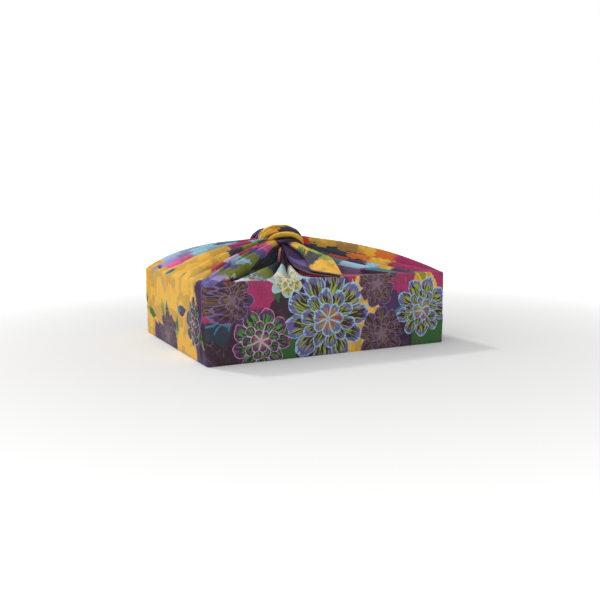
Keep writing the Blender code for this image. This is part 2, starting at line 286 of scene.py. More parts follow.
def wall_creases(along, z):
    """How far the creases push the wall out at a place on it, and how much cloth they hide before it."""
    out_by, hidden = 0.0, 0.0
    for a0, z0, a1, z1, width, out, lapped in WALL_CREASES:
        t = (z0 * MM - z) / ((z0 - z1) * MM)
        fade = eased((CREASE_STOPS - t) / CREASE_FADES_OUT) * eased((t + CREASE_STARTS) / CREASE_FADES_IN)
        if not fade:
            continue
        centre = (a0 + (a1 - a0) * t + CREASE_SWAY * math.sin(CREASE_SWAYS * t + a0)) * MM
        off = (along - centre) / (width * MM)
        if lapped:
            shape = max(0, 1 - abs(off) * (LAP_RISE if off < 0 else LAP_FALL))
            hidden += LAP_HIDES * fade * eased(off * LAP_FALL) * max(0, 1 - off / LAP_REACH)
        else:
            shape = math.exp(-off * off * RIDGE_SHARPNESS)
            shape -= DIP * math.exp(-((abs(off) - DIP_AT) ** 2) * DIP_SHARPNESS)
        out_by += out * MM * fade * shape
    return out_by, hidden


def wall_places():
    """Where each fold line runs down its wall: along the rim in order, with no line crossing another."""
    places, last = [], -math.inf
    for fold in FOLDS:
        last = max(last + LEAST_APART, fold.along)
        places.append(last * MM)
    return places


WALL_PLACES = wall_places()


def wrap_columns():
    """(fold index, share of the way to the next fold) for each column."""
    found = []
    for i, start in enumerate(WALL_PLACES):
        last = i + 1 == len(WALL_PLACES)
        end = WALL_PLACES[0] + ROUND_THE_RIM if last else WALL_PLACES[i + 1]
        count = max(FEWEST_COLUMNS, round((end - start) / COLUMN_STEP))
        found += [(i, k / count) for k in range(count)]
    return found


def column_points(i, share):
    """The points of one column from the base up, each with its (along, up) place on the flat cloth and
    how far it has left the wall, from 0 to 1."""
    after = (i + 1) % len(FOLDS)
    fold, following = FOLDS[i], FOLDS[after]
    start, end = fold.along * MM, following.along * MM
    wall_start, wall_end = WALL_PLACES[i], WALL_PLACES[after]
    if after == 0:
        end, wall_end = end + ROUND_THE_RIM, wall_end + ROUND_THE_RIM
    weight = crest_weight(share, fold.kind, following.kind)
    along = start + (end - start) * share
    wall_along = wall_start + (wall_end - wall_start) * share
    inset = (fold.wall * weight + following.wall * (1 - weight)) * MM
    points, flat_places = [], []

    def add(place, across, up, off_wall=0.0):
        if off_wall:
            up = flat_places[-1][1] + (place - points[-1]).length
        points.append(place)
        flat_places.append((across, up, off_wall))

    place, _ = rim_point(wall_along, BASE_R)
    add(Vector((*place, 0)), wall_along, -BASE_R)
    for row in range(WALL_ROWS + 1):
        z = BASE_R + (BOX_H - RIM_R - BASE_R) * row / WALL_ROWS
        ease = min(1, z / FLAT_FOOT)
        place, out = rim_point(wall_along, inset * (z / BOX_H) ** INSET_POWER)
        relief, hidden = wall_creases(wall_along, z)
        wavy = noise_at(wall_along / UNEVEN_ACROSS, z / UNEVEN_UP, WALL_NOISE) * UNEVEN
        add(Vector((*place, z)) + Vector((*out, 0)) * (relief + wavy) * ease, wall_along + hidden, z)
    lap = flat_places[-1][0]
    relief = (points[-1] - Vector((*place, z))).length
    gathered = Vector((fold.x, fold.y)).lerp(Vector((following.x, following.y)), share) * MM
    for row in range(TOP_ROWS + 1):
        s = row / TOP_ROWS
        s -= ROWS_CLOSER * math.sin(2 * math.pi * s) / (2 * math.pi)
        z = fold_height(fold, s) * weight + fold_height(following, s) * (1 - weight)
        begun = eased(s / OFF_WALL_BY)
        rim, out = rim_point(wall_along + (along - wall_along) * begun, RIM_R + inset * (1 - begun))
        place = (rim + out * relief * (1 - begun)).lerp(gathered, s)
        across = wall_along / RIPPLE_ACROSS
        run = noise_at(across, s * RIPPLE_CHANGES, RIPPLE_NOISE)
        run += FINE_RIPPLE * noise_at(across * FINE_RIPPLE_ACROSS, s * FINE_RIPPLE_CHANGES, FINE_NOISE)
        wavy = noise_at(place.x / UNEVEN_UP, place.y / UNEVEN_UP, TOP_NOISE) * UNEVEN
        z += begun * (run * RIPPLE * (1 - RIPPLE_FADES * s) + wavy)
        add(Vector((*place, z)), lap, BOX_H, begun)
    outward = Vector((gathered.x - KNOT.x, gathered.y - KNOT.y)).normalized()
    top = points[-1]
    neck = Vector((KNOT.x, KNOT.y)) + outward * NECK_R
    neck_z = max(top.z, KNOT.z - NECK_BELOW_KNOT)
    for row in range(1, NECK_ROWS + 1):
        t = row / NECK_ROWS
        place = Vector((top.x, top.y)).lerp(neck, t)
        z = top.z + (neck_z - top.z) * math.sin(t * math.pi / 2)
        add(Vector((*place, z)), lap, 0, 1.0)
    return points, flat_places


def pleat_crest(i):
    """The fold line that is the crest of the pleat that a fold interval belongs to."""
    kinds = [fold.kind for fold in FOLDS]
    after = (i + 1) % len(FOLDS)
    if kinds[i] == "crest":
        return i
    if kinds[i] == "lip":
        return i - 1 if kinds[i - 1] == "crest" else i + 1
    if kinds[after] == "lip":
        return i + 2 if kinds[(i + 2) % len(FOLDS)] == "crest" else i - 1
    return i + 1


def add_quad(bm, corners, layers, places):
    """A smooth face through four corners. places holds a row for each: its place in each of the layers."""
    face = bm.faces.new(corners)
    face.smooth = True
    for loop, row in zip(face.loops, places):
        for layer, place in zip(layers, row):
            loop[layer].uv = place


def around(a, b):
    """The corners of the grid's cell that starts at (a, b), in order."""
    return (a, b), (a + 1, b), (a + 1, b + 1), (a, b + 1)


def make_wrap(material):
    """Walls, fans and flaps in one cloth, with the place on the flat cloth of each face corner."""
    columns = wrap_columns()
    lines = [column_points(i, share) for i, share in columns]
    count, height = len(lines), len(lines[0][0])
    first_column = {i: c for c, (i, share) in enumerate(columns) if not share}
    first_column[len(FOLDS)] = count
    bm, flat = new_cloth()
    verts = [[bm.verts.new(p) for p in points] for points, _ in lines]
    arcs = []
    for row in range(height):
        arc = [0.0]
        for c in range(count):
            arc.append(arc[-1] + (lines[(c + 1) % count][0][row] - lines[c][0][row]).length)
        arcs.append(arc)

    def flat_place(column, row, crest, deep):
        # Off the wall, the print spreads from the crest of its own pleat, and each pocket shows its own
        # stretch, painted shade over dark print.
        across, up, off_wall = lines[column % count][1][row]
        across += ROUND_THE_RIM * (column // count)
        middle = lines[crest % count][1][row][0] + ROUND_THE_RIM * (crest // count)
        arc = arcs[row][column] - arcs[row][crest]
        if off_wall == 1 and deep:
            middle, across = middle + POCKET_SHADE_SHIFT, across + POCKET_SHADE_SHIFT
        return middle + (across - middle) * (1 - off_wall) + arc * off_wall, up

    for c, (i, _) in enumerate(columns):
        crest = first_column[pleat_crest(i)]
        deep = "pocket" in FOLDS[i].name or "under" in FOLDS[i].name
        for r in range(height - 1):
            cell = around(c, r)
            corners = [verts[column % count][row] for column, row in cell]
            add_quad(bm, corners, [flat], [[flat_place(column, row, crest, deep)] for column, row in cell])
    top = bm.verts.new(KNOT + Vector((0, 0, COVER_ABOVE_KNOT)))
    for c in range(count):
        face = bm.faces.new((verts[c][-1], verts[(c + 1) % count][-1], top))
        face.smooth = True
        for loop in face.loops:
            loop[flat].uv = (loop.vert.co.x, loop.vert.co.y)
    return mesh_piece("wrap_cloth", bm, [material])


def new_cloth():
    """An empty bmesh, and its layer for places on the flat cloth."""
    bm = bmesh.new()
    return bm, bm.loops.layers.uv.new("flat")


def mesh_piece(name, bm, materials):
    """A piece in the scene from a bmesh, with its materials."""
    bmesh.ops.recalc_face_normals(bm, faces=bm.faces)
    mesh = bpy.data.meshes.new(name)
    bm.to_mesh(mesh)
    bm.free()
    for material in materials:
        mesh.materials.append(material)
    piece = bpy.data.objects.new(name, mesh)
    bpy.context.scene.collection.objects.link(piece)
    return piece


def make_base(material):
    """The cloth under the box, flat on what the bundle stands on."""
    bm, flat = new_cloth()
    places = [rim_point(along * MM, BASE_R)[0] for along in range(0, round(ROUND_THE_RIM / MM), 2)]
    middle = bm.verts.new((0, 0, 0))
    ring = [bm.verts.new((*place, 0)) for place in places]
    for a, b in zip(ring, [*ring[1:], ring[0]]):
        face = bm.faces.new((a, middle, b))
        for loop in face.loops:
            loop[flat].uv = loop.vert.co.xy
    return mesh_piece("wrap_base", bm, [material])


# Strands of the knot, seen from the front left: points of the middle line in millimetres, half the breadth
# and half the thickness, where the band is creased, and its cloth. A crease is (degrees round the section,
# depth, width in degrees).
STRANDS = {
    "knot_rim": (
        [(-37, 17, 150), (-28, 15, 157.5), (-16, 9, 160.5), (-5, 3, 161.5), (3, -1, 158.5), (10, -5, 152.5),
         (15, -9, 146), (16, -10, 138)],
        2.2, 8.5, [(60, 0.12, 14), (130, 0.12, 14)], "loop",
    ),
    "knot_slot": (
        [(-29, 6, 143), (-24, 4, 152), (-17, 1, 156), (-8, -3, 157.5), (1, -8, 156), (8, -11, 151),
         (12, -12, 143)],
        4.2, 7.0, [(90, 0.2, 26)], "slot",
    ),
    "knot_lower": (
        [(-36, 6, 134), (-32, -1, 142), (-26, -4, 147.5), (-18, -8, 150), (-9, -12, 150.8), (0, -15, 149.5),
         (7, -17, 145.5), (12, -16, 139), (12, -14, 133)],
        3.6, 7.5, [(112, 0.10, 10), (70, 0.14, 12), (180, 0.1, 12)], "loop",
    ),
    "knot_left": (
        [(-37, 12, 130), (-41, 8, 139), (-39, 4, 148), (-31, 3, 154.5), (-18, 3, 157.5), (-4, 2, 156),
         (8, -1, 150)],
        7.0, 9.5,
        [(48, 0.14, 9), (70, 0.22, 8), (92, 0.16, 8), (114, 0.24, 9), (138, 0.16, 9), (20, 0.15, 12)],
        "loop_left",
    ),
    "knot_under": (
        [(-36, 6, 141), (-28, -3, 139.5), (-20, -9, 140), (-10, -14, 141), (1, -17, 140.5), (9, -17, 137.5),
         (14, -13, 132)],
        3.2, 6.5, [(75, 0.16, 12), (108, 0.16, 12)], "under",
    ),
    "knot_tuck": (
        [(-50, 22, 137), (-48, 20, 145), (-42, 18, 151), (-33, 18, 155), (-22, 17, 154)],
        4.0, 7.0, [(80, 0.24, 12), (110, 0.2, 12), (45, 0.16, 12)], "tuck",
    ),
    "knot_tuck_front": (
        [(-47, 12, 136), (-46, 10, 144), (-40, 9, 151), (-31, 10, 155)],
        3.2, 6.0, [(90, 0.24, 12), (60, 0.2, 12)], "tuck",
    ),
    "knot_back": (
        [(13, 6, 138), (8, 14, 147), (-2, 20, 151), (-14, 22, 151), (-26, 21, 148), (-34, 17, 140)],
        6.0, 8.0, [(260, 0.2, 12), (285, 0.2, 12), (235, 0.16, 12), (310, 0.14, 12)], "loop",
    ),
    "knot_back_under": (
        [(12, 10, 133), (2, 18, 139), (-12, 21, 140), (-26, 19, 139), (-36, 13, 134)],
        4.0, 6.5, [(262, 0.2, 12), (290, 0.16, 12)], "under",
    ),
    # A dark filler inside the knot: painted shade, seen in the gaps between the strands where shade falls.
    "knot_core": (
        [(-40, 9, 141), (-28, 7, 144), (-14, 4, 146), (0, 0, 144), (10, -3, 140)],
        8.5, 11, [], "slot",
    ),
}
STRAND_FACING = Vector((-0.45, -0.86, 0.25)).normalized()
STRAND_SIDES = 64
STRAND_STEPS = 18

# A strand is drawn in to this share at its ends. Its creases sway, in degrees, and its surface is uneven.
STRAND_END = 0.5
STRAND_FULLNESS = 0.4
STRAND_SWAY, STRAND_SWAYS = 7, 90
STRAND_UNEVEN = 0.06
STRAND_UNEVEN_ROUND = 1.6
STRAND_UNEVEN_ALONG = 8 * MM


def smooth_path(points, steps):
    """Points of a smooth curve through the given ones."""
    points = [Vector(p) * MM for p in points]
    ahead = [points[0] * 2 - points[1], *points, points[-1] * 2 - points[-2]]
    path = [points[0]]
    for before, a, b, after in zip(ahead, ahead[1:], ahead[2:], ahead[3:]):
        path += interpolate_bezier(a, a + (b - before) / 6, b - (after - a) / 6, b, steps + 1)[1:]
    return path


def make_strand(name, points, half_breadth, half_thick, creases, material):
    """A creased band of cloth along a curve, drawn in at its ends."""
    path = smooth_path(points, STRAND_STEPS)
    bm, flat = new_cloth()
    rings, lengths = [], [0.0]
    for a, b in zip(path, path[1:]):
        lengths.append(lengths[-1] + (b - a).length)
    for i, place in enumerate(path):
        ahead = (path[min(i + 1, len(path) - 1)] - path[max(i - 1, 0)]).normalized()
        facing = (STRAND_FACING - ahead * STRAND_FACING.dot(ahead)).normalized()
        sideways = ahead.cross(facing)
        full = math.sin(math.pi * (i + 0.5) / len(path)) ** STRAND_FULLNESS
        full = STRAND_END + (1 - STRAND_END) * full
        ring = []
        for side in range(STRAND_SIDES):
            turn = 2 * math.pi * side / STRAND_SIDES
            c, s = math.cos(turn), math.sin(turn)
            size = full
            for centre, depth, width in creases:
                sway = STRAND_SWAY * math.sin(lengths[i] * STRAND_SWAYS + centre)
                off = (math.degrees(turn) - centre - sway + 180) % 360 - 180
                size -= full * depth * math.exp(-abs(off / width))
            further = lengths[i] / STRAND_UNEVEN_ALONG + half_thick
            size += STRAND_UNEVEN * noise_at(c * STRAND_UNEVEN_ROUND, s * STRAND_UNEVEN_ROUND, further)
            breadth = half_breadth * MM * size * c
            thick = half_thick * MM * size * s
            ring.append(bm.verts.new(place + sideways * breadth + facing * thick))
        rings.append(ring)
    girth = math.pi * (half_breadth + half_thick) * MM
    for i, (lower, upper) in enumerate(zip(rings, rings[1:])):
        for k in range(STRAND_SIDES):
            m = (k + 1) % STRAND_SIDES
            places = [[(side / STRAND_SIDES * girth, lengths[along])] for side, along in around(k, i)]
            add_quad(bm, (lower[k], lower[m], upper[m], upper[k]), [flat], places)
    for ring in (rings[0][::-1], rings[-1]):
        bm.faces.new(ring).smooth = True
    return mesh_piece(name, bm, [material])


# The corner of cloth that hangs from the knot to the front rim, folded along its middle, in millimetres.
FRONT_END = [
    # y, fold_x, fold_z, top_x, top_z, under_x, under_z, arch
    (-12, -3, 141, -12, 141, -18, 138, 0.5),
    (-26, 2, 138, -11, 135, -20, 129, 1.5),
    (-40, 8, 132, -7, 129.5, -21, 119, 3.0),
    (-54, 13, 128.5, -4, 121.5, -22, 112.5, 3.5),
    (-70, 17, 125, -9, 115, -22.5, 108.5, 3.0),
    (-86, 19, 121.5, -15, 109.5, -22, 105.8, 2.5),
    (-101, 17, 116, -18.5, 106, -21, 104.2, 2.0),
    (-116, 14, 109.5, -15, 104.6, -16, 103.2, 1.5),
    (-128, 10, 105, -6, 103.6, -6.5, 102.2, 0.8),
    (-136, 8, 102.4, 3, 101.8, 3, 100.8, 0.2),
]
BACK_END_TURN = math.radians(172)
BACK_END_SHRINK = 0.94
BACK_END_MIDDLE = Vector((-12, -2, 0)) * MM

# The gap between the layers at the fold, the share of it by which the lower layer leans in, how far that
# layer sags for its arch, and the wave of the upper one.
FOLD_GAP = 2.6
UNDER_LEANS = 0.3
UNDER_SAG = 2.4
END_WAVE, END_WAVE_RUNS = 0.35, 0.04

# How finely an end is divided: across each layer, between two rows of the table and round the fold.
END_ACROSS = 26
END_ALONG = 9
ARC_POINTS = 9

# The cloth's thickness, doubled in the hem by a weight of 1 in place of this one, and its sewing and threads.
CLOTH = 0.7 * MM
SINGLE_CLOTH = 0.5
HEM_ROLL = 2.2 * MM
TIP_OVER = 2 * MM
STITCH = 1.8 * MM
STITCH_LENGTH = (0.30, 0.22)
STITCH_WIDTH = (0.35 * MM, 0.2 * MM)
STITCHED_AT = 1.25
THREAD = 0.7
WEAVE_SHOWS = 0.02
THREAD_SHOWS = 0.035
BARE_COTTON = (0.9, 0.86, 0.8)


def end_rows():
    """The end's rows, with smooth ones between those of the table."""
    rows = [np.array(row, float) for row in FRONT_END]
    ahead = [2 * rows[0] - rows[1], *rows, 2 * rows[-1] - rows[-2]]
    found = []
    for before, a, b, after in zip(ahead, ahead[1:], ahead[2:], ahead[3:]):
        for k in range(END_ALONG):
            t = k / END_ALONG
            bend = (2 * before - 5 * a + 4 * b - after) * t**2 + (3 * a - before - 3 * b + after) * t**3
            found.append(0.5 * (2 * a + (b - before) * t + bend))
    return [*found, rows[-1]]


def end_section(row):
    """The folded corner's section at one row: upper hem, arched layer, fold, lower layer, lower hem."""
    y, fold_x, fold_z, top_x, top_z, under_x, under_z, arch = row
    fold, top, under = Vector((fold_x, fold_z)), Vector((top_x, top_z)), Vector((under_x, under_z))
    below = fold - Vector((FOLD_GAP * UNDER_LEANS, FOLD_GAP))
    section = []
    for step in range(END_ACROSS):
        share = step / END_ACROSS
        bend = arch * math.sin(math.pi * share)
        bend += END_WAVE * arch * math.sin(3 * math.pi * share + y * END_WAVE_RUNS)
        section.append(top.lerp(fold, share) + Vector((0, bend)))
    middle = (fold + below) / 2
    for step in range(ARC_POINTS):
        turn = math.pi * (step / (ARC_POINTS - 1) - 0.5)
        section.append(middle + Vector((math.cos(turn) * FOLD_GAP / 2, -math.sin(turn) * FOLD_GAP / 2)))
    for step in range(1, END_ACROSS + 1):
        share = step / END_ACROSS
        sag = arch * UNDER_SAG * math.sin(math.pi * share)
        section.append(below.lerp(under - Vector((0, FOLD_GAP * UNDER_LEANS)), share) - Vector((0, sag)))
    return [Vector((x, y, z)) * MM for x, z in section]


def turned_to_back(point):
    """A point of the front end, turned round the knot to the back."""
    from_middle = (point - BACK_END_MIDDLE) * BACK_END_SHRINK
    c, s = math.cos(BACK_END_TURN), math.sin(BACK_END_TURN)
    x, y = from_middle.x * c - from_middle.y * s, from_middle.x * s + from_middle.y * c
    return Vector((BACK_END_MIDDLE.x + x, BACK_END_MIDDLE.y + y, point.z))


def make_end(name, place, face_material, back_material):
    """A corner of cloth as a thin sheet, folded along its middle, with a narrow hem."""
    rows = [[place(p) for p in end_section(row)] for row in end_rows()]
    bm, flat = new_cloth()
    hem = bm.loops.layers.uv.new("hem")
    verts = [[bm.verts.new(p) for p in row] for row in rows]
    width = len(rows[0])
    across = [[0.0] for _ in rows]
    for row, found in zip(rows, across):
        for a, b in zip(row, row[1:]):
            found.append(found[-1] + (b - a).length)
    middle = width // 2
    down = [0.0]
    for a, b in zip(rows, rows[1:]):
        down.append(down[-1] + (b[middle] - a[middle]).length)

    def places_at(r, k):
        from_edge = min(across[r][k], across[r][-1] - across[r][k])
        return (across[r][k] - across[r][middle], down[r]), (from_edge, down[r])

    for r in range(len(rows) - 1):
        for k in range(width - 1):
            cell = [(b, a) for a, b in around(k, r)]
            add_quad(bm, [verts[a][b] for a, b in cell], [flat, hem], [places_at(a, b) for a, b in cell])
    end = mesh_piece(name, bm, [face_material, back_material])
    edge = end.vertex_groups.new(name="hem")
    for r in range(len(rows)):
        for k in range(width):
            from_edge = min(across[r][k], across[r][-1] - across[r][k], down[-1] - down[r] + TIP_OVER)
            edge.add([r * width + k], 1.0 if from_edge < HEM_ROLL else SINGLE_CLOTH, "REPLACE")
    solidify = end.modifiers.new("thickness", "SOLIDIFY")
    solidify.thickness = CLOTH * 2
    solidify.offset = 0
    solidify.vertex_group = "hem"
    solidify.thickness_vertex_group = SINGLE_CLOTH
    solidify.material_offset = 1
    return end


class Field:
    """A number or vector worked out by shader nodes, so that a pattern reads as a formula."""

    def __init__(self, socket):
        self.tree, self.socket = socket.id_data, socket

    def math(self, operation, other=None, clamp=False):
        node = self.tree.nodes.new("ShaderNodeMath")
        node.operation = operation
        node.use_clamp = clamp
        put(self, node.inputs[0])
        if other is not None:
            put(other, node.inputs[1])
        return Field(node.outputs[0])

    def __add__(self, other):
        return self.math("ADD", other)

    def __sub__(self, other):
        return self.math("SUBTRACT", other)

    def __mul__(self, other):
        return self.math("MULTIPLY", other)

    def __truediv__(self, other):
        return self.math("DIVIDE", other)

    def over(self, low, high):
        """0 below low, 1 above high, smooth between."""
        node = self.tree.nodes.new("ShaderNodeMapRange")
        node.interpolation_type = "SMOOTHSTEP"
        put(self, node.inputs["Value"])
        put(low, node.inputs["From Min"])
        put(high, node.inputs["From Max"])
        return Field(node.outputs[0])


def put(value, socket):
    """Links a field to a socket, or sets a plain value on it."""
    if isinstance(value, Field):
        value.tree.links.new(value.socket, socket)
    else:
        socket.default_value = value


def mixed(share, first, second):
    """Colours mixed by a share from 0 to 1. A colour is a field or (r, g, b)."""
    node = share.tree.nodes.new("ShaderNodeMix")
    node.data_type = "RGBA"
    node.clamp_factor = True
    put(share, node.inputs["Factor"])
    for value, socket in ((first, node.inputs["A"]), (second, node.inputs["B"])):
        put(value if isinstance(value, Field) else (*value, 1), socket)
    return Field(node.outputs["Result"])


def texture(kind, vector, output, **inputs):
    """One output of a texture node at the given place."""
    node = vector.tree.nodes.new(kind)
    for key, value in inputs.items():
        if key in node.inputs:
            put(value, node.inputs[key])
        else:
            setattr(node, key, value)
    put(vector, node.inputs["Vector"])
    return Field(node.outputs[output])


def noise_field(vector, scale=1.0, **inputs):
    return texture("ShaderNodeTexNoise", vector, "Fac", Scale=scale, **inputs)


def vector_math(operation, *values):
    """A vector, or for a distance a number, worked out from the values in the order of the node's sockets."""
    node = values[0].tree.nodes.new("ShaderNodeVectorMath")
    node.operation = operation
    for value, socket in zip(values, node.inputs):
        put(value, socket)
    return Field(node.outputs["Value" if operation == "DISTANCE" else "Vector"])


def vector_of(x, y, z=0.0):
    node = x.tree.nodes.new("ShaderNodeCombineXYZ")
    for value, socket in zip((x, y, z), node.inputs):
        put(value, socket)
    return Field(node.outputs[0])


def parts_of(vector):
    node = vector.tree.nodes.new("ShaderNodeSeparateXYZ")
    put(vector, node.inputs[0])
    return [Field(output) for output in node.outputs]


# The print's inks, as linear colours.
MUSTARD = (0.83, 0.47, 0.045)
OCHRE = (0.50, 0.27, 0.05)
AUBERGINE = (0.036, 0.008, 0.030)
PLUM = (0.060, 0.022, 0.095)
VIOLET = (0.13, 0.10, 0.33)
LAVENDER = (0.36, 0.29, 0.60)
LILAC = (0.55, 0.42, 0.60)
SKY = (0.33, 0.56, 0.70)
TEAL = (0.045, 0.20, 0.27)
PALE = (0.52, 0.70, 0.72)
CREAM = (0.78, 0.76, 0.62)
MAGENTA = (0.42, 0.02, 0.13)
PINK = (0.78, 0.12, 0.36)
CRIMSON = (0.42, 0.02, 0.05)
RED = (0.60, 0.05, 0.03)
ORANGE = (0.68, 0.17, 0.02)
OLIVE = (0.22, 0.26, 0.012)
LIME = (0.33, 0.42, 0.04)
LEAF = (0.025, 0.12, 0.02)
LEAF_LIGHT = (0.10, 0.30, 0.04)
MAUVE = (0.20, 0.13, 0.26)
UMBER = (0.20, 0.11, 0.02)
NAVY = (0.022, 0.035, 0.06)

# The hanging ends show a stretch of the print of their own past the end of the rim, and the deep pockets a
# stretch of painted shade, with painted highlights, over dark print.
END_SHIFT = (1400, 0)
POCKET_SHADE_SHIFT = 1600 * MM

# The ground is large flat patches of ink, each spread round a place on the cloth: along the rim and up from
# the foot, in millimetres. Past the rim, up runs on towards the knot. The hanging ends have the places from
# 1380 to 1420 along. The deep pockets have those past them, mostly navy, aubergine and plum, a painted shade
# for the recesses under the fans, with violet streaks as painted highlights on their pleats.
PATCHES = [
    (MUSTARD, [(10, 100), (90, 70), (140, 110), (188, 108), (190, 74), (196, 14), (250, 46), (262, 96),
        (302, 130), (302, 172), (322, 66), (350, 30), (358, 122), (362, 160), (372, 92), (392, 14),
        (404, 70), (408, 120), (429, 262), (458, 284), (610, 122), (646, 6), (664, 46), (672, 92),
        (751, 146), (762, 84), (776, 44), (783, 178), (806, 206), (806, 272), (880, 20), (900, 90),
        (990, 80), (1110, 60), (1230, 50), (1384, 96), (1386, 30), (1398, 8), (1398, 134), (1408, 108),
        (1420, 70)]),
    (OCHRE, [(808, 236)]),
    (AUBERGINE, [(462, 24), (538, 218), (560, 70), (575, 218), (590, 20), (646, 216), (716, 12), (1180, 90),
        (1745, 120), (2068, 140), (2070, 215)]),
    (PLUM, [(248, 4), (300, 14), (436, 8), (438, 88), (504, 46), (606, 214), (612, 92), (718, 62),
        (751, 122), (751, 186), (940, 40), (1120, 130), (1745, 240), (2695, 120)]),
    (VIOLET, [(424, 34), (446, 112), (454, 160), (454, 228), (2066, 162)]),
    (LAVENDER, [(60, 130), (222, 134), (456, 126)]),
    (LILAC, [(409, 176)]),
    (SKY, [(160, 128), (187, 140), (188, 190), (224, 176), (254, 164), (256, 202), (304, 234), (429, 172),
        (458, 180), (520, 120), (575, 124), (722, 166), (722, 256), (751, 162), (905, 160)]),
    (TEAL, [(222, 216), (722, 124), (722, 300), (724, 208), (862, 120), (1160, 20)]),
    (PALE, [(540, 180)]),
    (CREAM, [(492, 124), (540, 140), (572, 170), (1180, 150)]),
    (MAGENTA, [(30, 40), (256, 236), (304, 206), (409, 214), (409, 262), (470, 80), (512, 90), (650, 122),
        (690, 128), (696, 160), (728, 98), (783, 120), (783, 152), (790, 98), (806, 118), (808, 150),
        (1040, 30), (1060, 110)]),
    (PINK, [(254, 128), (429, 232), (458, 254), (636, 150), (960, 130)]),
    (CRIMSON, [(409, 146), (429, 146)]),
    (RED, [(184, 232), (222, 252), (751, 214), (808, 308), (2064, 110)]),
    (ORANGE, [(186, 268), (429, 290), (782, 206), (808, 178), (1010, 150)]),
    (OLIVE, [(364, 218), (429, 200), (458, 142), (458, 202), (488, 168)]),
    (LIME, [(1398, 80), (1402, 52)]),
    (LEAF, [(130, 30), (366, 248), (536, 8), (770, 6), (792, 22), (850, 60)]),
    (MAUVE, [(2072, 196)]),
    # The navy patches from 750 to 782 along and 206 to 292 up make the right fan dark next to the knot.
    (NAVY, [(364, 192), (500, 222), (750, 250), (750, 292), (766, 236), (768, 206), (780, 262), (780, 292),
        (782, 236), (1380, 6), (1380, 62), (1414, 34), (1416, 10), (1745, 180), (2060, 180), (2062, 250),
        (2695, 190)]),
]

# Blossoms: place, radius, petals in the outer ring, turn, and which of the colour sets.
BLOSSOMS = [
    # along, up, radius, petals, turn, colours
    (478, 78, 27, 7, 0.5, 1),
    (516, 26, 37, 9, 0.6, 3),
    (552, 104, 25, 8, 0.5, 2),
    (500, 134, 24, 7, 0.2, 0),
    (572, 152, 22, 7, 0.6, 2),
    (610, 46, 58, 10, 0.3, 0),
    (684, 88, 29, 8, 0.8, 1),
    (692, 20, 35, 9, 0.2, 1),
    (756, 50, 43, 9, 0.7, 0),
    (404, 46, 33, 8, 0.7, 3),
    (286, 12, 40, 9, 0.2, 1),
    (172, 52, 26, 8, 0.2, 1),
    (856, 74, 48, 11, 0.6, 0),
    (950, 30, 50, 10, 0.1, 3),
    (1030, 84, 44, 9, 0.3, 1),
    (1122, 36, 54, 10, 0.9, 0),
    (1206, 88, 44, 10, 0.4, 3),
    (60, 34, 56, 10, 0.7, 0),
    (120, 92, 38, 9, 0.4, 1),
    (900, 190, 34, 9, 0.1, 3),
    (1000, 205, 32, 9, 0.9, 0),
]
BLOSSOM_COLOURS = [
    # heart, deep part, strokes, petal, tip, outline
    (CRIMSON, AUBERGINE, LIME, VIOLET, SKY, SKY),
    (UMBER, AUBERGINE, UMBER, PLUM, MAUVE, MAUVE),
    (OLIVE, OLIVE, MUSTARD, SKY, SKY, CREAM),
    (CRIMSON, AUBERGINE, LEAF_LIGHT, PLUM, MAGENTA, LILAC),
]
RINGS = [
    # reach, petals fewer than the outer ring, turn, reach of the ring inside
    (1.00, 0, 0.0, 0.46),
    (0.64, 0, 0.5, 0.30),
    (0.37, 3, 0.11, 0.0),
]
OUTLINE = 1.0

# A blossom's lines are drawn by a free hand: scale and amount of the shift. Its petals differ in length.
HAND_DRAWN = (0.045, 9.0)
UNEVEN_PETALS = 0.10
PETAL_SEED = 12.9

# A petal's end is round: how flat its middle is, and how much shorter its sides are.
PETAL_POWER = 2.6
PETAL_SIDES = 0.27

# The strokes of the brush along a petal, fine and coarse: how many across it and how short.
FINE_STROKES = (15, 1.3)
COARSE_STROKES = (5, 0.7)

# Where a petal's inks begin and end: the heart by its reach, the deep part's fringe and the tip by
# their share
# of the petal, and the strokes by the noise, by their share of the petal and by their nearness to its sides.
HEART = (0.40, 0.26)
FRINGE = (0.64, 0.68)
FRINGE_ROUGH, FRINGE_SIDES = 1.3, 0.12
TIP = (0.90, 0.93)
TIP_ROUGH = 0.7
STROKES = (0.52, 0.55)
STROKES_BEGIN = (0.05, 0.16)
STROKES_END = (0.86, 0.62)
STROKES_SIDES = (0.92, 0.75)

# The brush strokes at the edges of the ground's patches: how close, how long and how far they reach.
BRUSH_ACROSS = 0.55
BRUSH_ALONG = 0.09
BRUSH_REACH = 20

# The ground's edges are uneven twice over. A darker tone and thin broken lines lie over it.
COARSE_SHIFT = (0.024, 26.0)
FINE_SHIFT = (0.12, 8.0)
TONE = (0.51, 0.525)
TONE_SHARE = 0.28
TONE_INK = (0.03, 0.02, 0.0)
NET = (0.045, 0.02)
NET_SHARE = 0.22

# Leaves: one in each cell of a grid that is a little scattered, up to a height on the walls. A leaf is bent
# and broader towards one end, and its ink changes along it.
LEAVES_UP_TO = 112
LEAF_SCATTER = 0.4
LEAF_BEND, LEAF_OFF = 0.5, 0.2
LEAF_BROAD = 0.35
LEAF_ROUGH, LEAF_FRINGE_ROUGH = 0.25, 2.2
LEAF_FRINGE = (0.35, 0.42)
LEAF_KINDS = (0.45, 0.46)
LEAF_SHOWN = (0.40, 0.41)
LEAVES = [
    # size of a cell, length, width, inks, shift of the grid
    (62, 19, 7, (NAVY, PLUM, TEAL), (31, 31 * 0.7, 0)),
    (55, 17, 6.5, (LEAF, OLIVE, LIME), (347, 347 * 0.7, 0)),
]


def nearest_of(place, rows):
    """The three-number values of the row nearest to a place. A row is (along, up, radius, *values)."""
    best, values = None, None
    for along, up, radius, *own in rows:
        distance = vector_math("DISTANCE", place, (along, up, 0)) / radius
        if best is None:
            best, values = distance, own
            continue
        closer = distance.math("LESS_THAN", best)
        values = [mixed_values(closer, old, new) for old, new in zip(values, own)]
        best = best.math("MINIMUM", distance)
    return values


